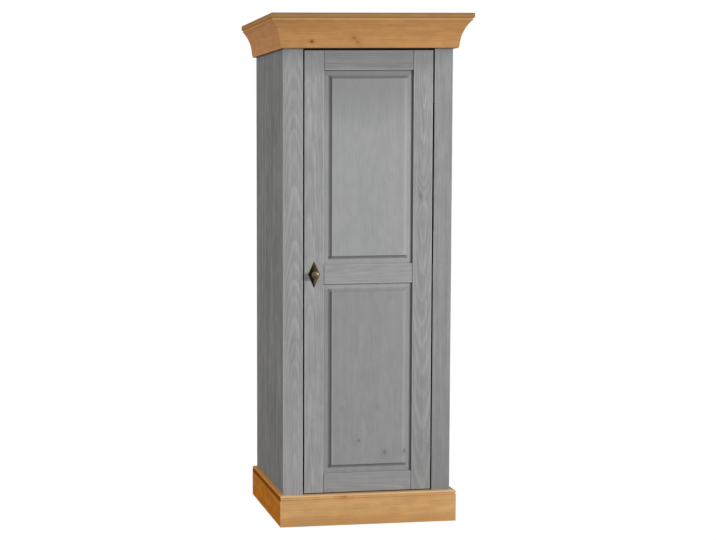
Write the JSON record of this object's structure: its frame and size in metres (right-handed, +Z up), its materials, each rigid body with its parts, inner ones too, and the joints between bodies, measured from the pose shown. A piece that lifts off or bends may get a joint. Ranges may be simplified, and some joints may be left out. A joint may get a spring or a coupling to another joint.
{
  "type": "cupboard",
  "caption": "Tall narrow cupboard in grey stained pine with a panelled hinged door, shelves, and a moulded crown and plinth in honey pine.",
  "frame": {"origin": "middle of the bounding box at the floor", "axes": "+Z up, -Y towards the front (the door), +X to the right seen from the front"},
  "size_m": [0.758, 0.55, 1.9],
  "materials": {
    "grey_stained_pine": "grey glazed pine, satin, grain showing",
    "honey_pine": "honey stained and lacquered pine, satin",
    "inside_pine": "plain pine, clear matt finish",
    "back_pine": "unstained tongued boards",
    "dowel_beech": "plain beech",
    "dark_iron": "dark bronzed steel",
    "aged_bronze": "dark antique bronze, edges rubbed brighter",
    "zinc_steel": "zinc plated",
    "brown_plastic": "brown moulded plastic",
    "magnet_ferrite": "dark ceramic magnet"
  },
  "bodies": {
    "carcass": {"back_board_1": "back_pine", "back_board_2": "back_pine", "back_board_3": "back_pine", "back_board_4": "back_pine", "back_board_5": "back_pine", "back_board_6": "back_pine", "back_screws": "zinc_steel", "carcass_dowels": "dowel_beech", "catch_housing": "brown_plastic", "catch_magnet": "magnet_ferrite", "catch_screws": "zinc_steel", "ceiling_panel": "inside_pine", "corner_blocks": "inside_pine", "crown_cap_back": "honey_pine", "crown_cap_front": "honey_pine", "crown_cap_left": "honey_pine", "crown_cap_right": "honey_pine", "crown_cove_front": "honey_pine", "crown_cove_left": "honey_pine", "crown_cove_right": "honey_pine", "face_rail_bottom": "inside_pine", "face_rail_top": "grey_stained_pine", "face_stile_left": "grey_stained_pine", "face_stile_right": "grey_stained_pine", "floor_cleat_left": "inside_pine", "floor_cleat_right": "inside_pine", "floor_panel": "inside_pine", "hinge_leaf_frame_1": "dark_iron", "hinge_leaf_frame_2": "dark_iron", "hinge_leaf_frame_3": "dark_iron", "hinge_pins": "dark_iron", "hinge_screws_frame": "dark_iron", "plinth_front": "honey_pine", "plinth_left": "honey_pine", "plinth_right": "honey_pine", "roof_board": "inside_pine", "shelf_1": "inside_pine", "shelf_2": "inside_pine", "shelf_3": "inside_pine", "shelf_4": "inside_pine", "shelf_pins": "zinc_steel", "side_panel_left": "grey_stained_pine", "side_panel_right": "grey_stained_pine", "tip_over_rail": "inside_pine"},
    "door": {"catch_strike": "zinc_steel", "door_panel_lower": "grey_stained_pine", "door_panel_upper": "grey_stained_pine", "door_rail_bottom": "grey_stained_pine", "door_rail_middle": "grey_stained_pine", "door_rail_top": "grey_stained_pine", "door_stile_left": "grey_stained_pine", "door_stile_right": "grey_stained_pine", "hinge_leaf_door_1": "dark_iron", "hinge_leaf_door_2": "dark_iron", "hinge_leaf_door_3": "dark_iron", "hinge_screws_door": "dark_iron", "knob": "aged_bronze", "knob_plate": "aged_bronze", "knob_screw": "zinc_steel", "strike_screw": "zinc_steel"}
  },
  "joints": [
    {"name": "door_hinge", "type": "hinge", "parent": "carcass", "child": "door", "pos_m": [0.24575, -0.2135, 0.946], "axis": [0, 0, 1], "range_deg": [0, 110]}
  ]
}
